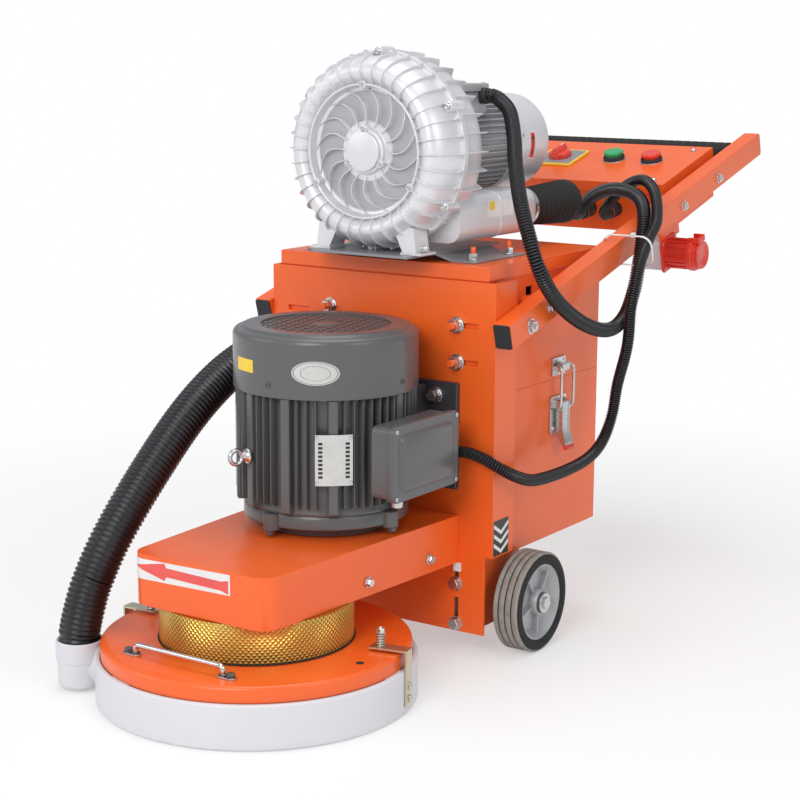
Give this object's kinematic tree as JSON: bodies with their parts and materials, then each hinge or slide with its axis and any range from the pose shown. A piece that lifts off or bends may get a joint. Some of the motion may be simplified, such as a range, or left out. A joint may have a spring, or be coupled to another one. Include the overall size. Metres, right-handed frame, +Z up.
{
  "type": "concrete floor grinder",
  "caption": "Walk-behind concrete floor grinder: belt-driven disc in a floating skirt, upright motor, and a wheeled dust collector with side-channel blower, bin and raked handle.",
  "frame": {"origin": "on the floor, under the middle of the machine's box (hose and conduits left out)", "axes": "+Z up; the grinding head faces -Y and the handle +Y; the visible inlet and latch are on +X; +Y is the longest extent and +X the shortest"},
  "size_m": [0.5688, 1.445, 0.9353],
  "materials": {
    "orange_paint": "gloss orange enamel",
    "bright_steel": "bright zinc or chrome steel",
    "base_plate_grey": "grey sheet steel",
    "black_rubber": "black rubber and corrugated plastic",
    "cast_aluminium": "silver-painted casting",
    "white_urethane": "white moulded skirt",
    "filter_paper": "pleated filter medium",
    "dark_steel": "dark machined steel",
    "grit_metal": "diamond grit segments",
    "red_plastic": "red moulded",
    "motor_grey_paint": "dark warm grey enamel",
    "zinc_plate": "passivated zinc plate",
    "black_plastic": "black moulded",
    "gold_wrap": "gold foil wrap",
    "green_plastic": "green moulded",
    "tyre_rubber": "light grey-brown tread"
  },
  "bodies": {
    "machine": {"head_plate": "orange_paint", "pull_rod": "bright_steel", "skirt_spring_right": "bright_steel", "skirt_spring_left": "bright_steel", "spindle_housing": "gold_wrap", "spindle_bearing": "dark_steel", "arm_floor": "orange_paint", "belt_cover": "orange_paint", "drive_belt": "black_rubber", "motor_end_shield": "motor_grey_paint", "motor_frame": "motor_grey_paint", "motor_cowl": "motor_grey_paint", "motor_terminal_box": "motor_grey_paint", "motor_terminal_lid": "motor_grey_paint", "motor_eye_bolt": "zinc_plate", "frame": "orange_paint", "axle": "bright_steel", "dust_box": "orange_paint", "dust_box_lid": "orange_paint", "filter_cartridge": "filter_paper", "blower_base": "base_plate_grey", "blower_front_casing": "cast_aluminium", "blower_rear_casing": "cast_aluminium", "blower_motor": "cast_aluminium", "blower_cowl": "cast_aluminium", "exhaust_boot": "black_rubber", "handle_frame": "orange_paint", "grip_sleeve": "black_rubber", "control_box": "orange_paint", "inlet_body": "red_plastic", "dust_hose": "black_rubber", "blower_conduit": "black_rubber", "motor_conduit": "black_rubber"},
    "skirt": {"dust_skirt": "white_urethane", "skirt_strap_right": "zinc_plate", "skirt_strap_left": "zinc_plate"},
    "grinding_head": {"spindle": "bright_steel", "spindle_pulley": "dark_steel", "grinding_disc": "dark_steel", "grinding_shoe_1": "grit_metal", "grinding_shoe_2": "grit_metal", "grinding_shoe_3": "grit_metal"},
    "motor_rotor": {"motor_rotor": "bright_steel", "motor_pulley": "dark_steel", "motor_fan": "black_plastic"},
    "blower_rotor": {"blower_impeller": "cast_aluminium"},
    "wheel_right": {"tyre_right": "tyre_rubber", "wheel_core_right": "cast_aluminium"},
    "wheel_left": {"tyre_left": "tyre_rubber", "wheel_core_left": "cast_aluminium"},
    "bin": {"dust_bin": "orange_paint"},
    "lever_right": {"latch_lever_right": "bright_steel"},
    "lever_left": {"latch_lever_left": "bright_steel"},
    "bail_right": {"latch_bail_right": "bright_steel"},
    "bail_left": {"latch_bail_left": "bright_steel"},
    "control_lid": {"control_lid": "orange_paint"},
    "switch_knob": {"switch_knob": "red_plastic"},
    "start_button": {"start_button": "green_plastic"},
    "stop_button": {"stop_button": "red_plastic"},
    "inlet_flap": {"inlet_flap": "red_plastic"}
  },
  "joints": [
    {"name": "skirt_float", "type": "slide", "parent": "machine", "child": "skirt", "axis": [0, 0, 1], "range_m": [0, 0.006], "stiffness_N_per_m": 1500, "springref_m": -0.01, "deforming": ["skirt_spring_right", "skirt_spring_left"]},
    {"name": "motor_spin", "type": "hinge", "parent": "machine", "child": "motor_rotor", "pos_m": [-0.00117, -0.31289, 0.3], "axis": [0, 0, 1], "continuous": true},
    {"name": "spindle_spin", "type": "hinge", "parent": "machine", "child": "grinding_head", "pos_m": [-0.00117, -0.48489, 0.1], "axis": [0, 0, 1], "continuous": true},
    {"name": "blower_spin", "type": "hinge", "parent": "machine", "child": "blower_rotor", "pos_m": [-0.00117, -0.16309, 0.7833], "axis": [0, 1, 0], "continuous": true},
    {"name": "wheel_right_spin", "type": "hinge", "parent": "machine", "child": "wheel_right", "pos_m": [0.22723, -0.07989, 0.08], "axis": [1, 0, 0], "continuous": true},
    {"name": "wheel_left_spin", "type": "hinge", "parent": "machine", "child": "wheel_left", "pos_m": [-0.22957, -0.07989, 0.08], "axis": [1, 0, 0], "continuous": true},
    {"name": "dust_bin_slide", "type": "slide", "parent": "machine", "child": "bin", "axis": [0, 1, 0], "range_m": [0, 0.3]},
    {"name": "latch_lever_right_swing", "type": "hinge", "parent": "bin", "child": "lever_right", "pos_m": [0.20383, 0.05511, 0.372], "axis": [0, -1, 0], "range_deg": [0, 150]},
    {"name": "latch_lever_left_swing", "type": "hinge", "parent": "bin", "child": "lever_left", "pos_m": [-0.20617, 0.05511, 0.372], "axis": [0, 1, 0], "range_deg": [0, 150]},
    {"name": "latch_bail_right_swing", "type": "hinge", "parent": "lever_right", "child": "bail_right", "pos_m": [0.20383, 0.05511, 0.364], "axis": [0, -1, 0], "range_deg": [-175, 0]},
    {"name": "latch_bail_left_swing", "type": "hinge", "parent": "lever_left", "child": "bail_left", "pos_m": [-0.20617, 0.05511, 0.364], "axis": [0, 1, 0], "range_deg": [-175, 0]},
    {"name": "control_lid_hinge", "type": "hinge", "parent": "machine", "child": "control_lid", "pos_m": [-0.00117, 0.61046, 0.74377], "axis": [-1, 0, 0], "range_deg": [0, 100]},
    {"name": "switch_turn", "type": "hinge", "parent": "control_lid", "child": "switch_knob", "pos_m": [-0.06417, 0.50582, 0.73742], "axis": [0, -0.2686, 0.9632], "range_deg": [0, 90]},
    {"name": "start_press", "type": "slide", "parent": "control_lid", "child": "start_button", "axis": [0, 0.2686, -0.9632], "range_m": [0, 0.003], "stiffness_N_per_m": 600, "springref_m": -0.002},
    {"name": "stop_press", "type": "slide", "parent": "control_lid", "child": "stop_button", "axis": [0, 0.2686, -0.9632], "range_m": [0, 0.003], "stiffness_N_per_m": 600, "springref_m": -0.002},
    {"name": "inlet_flap_hinge", "type": "hinge", "parent": "machine", "child": "inlet_flap", "pos_m": [0.26413, 0.42303, 0.61363], "axis": [0, -0.9632, -0.2686], "range_deg": [0, 110], "stiffness_Nm_per_rad": 0.02, "springref_deg": -11.46}
  ],
  "couplings": [
    {"joint": "spindle_spin", "follows": "motor_spin", "ratio": 0.64286},
    {"joint": "latch_bail_right_swing", "follows": "latch_lever_right_swing", "ratio": -1.15},
    {"joint": "latch_bail_left_swing", "follows": "latch_lever_left_swing", "ratio": -1.15}
  ]
}
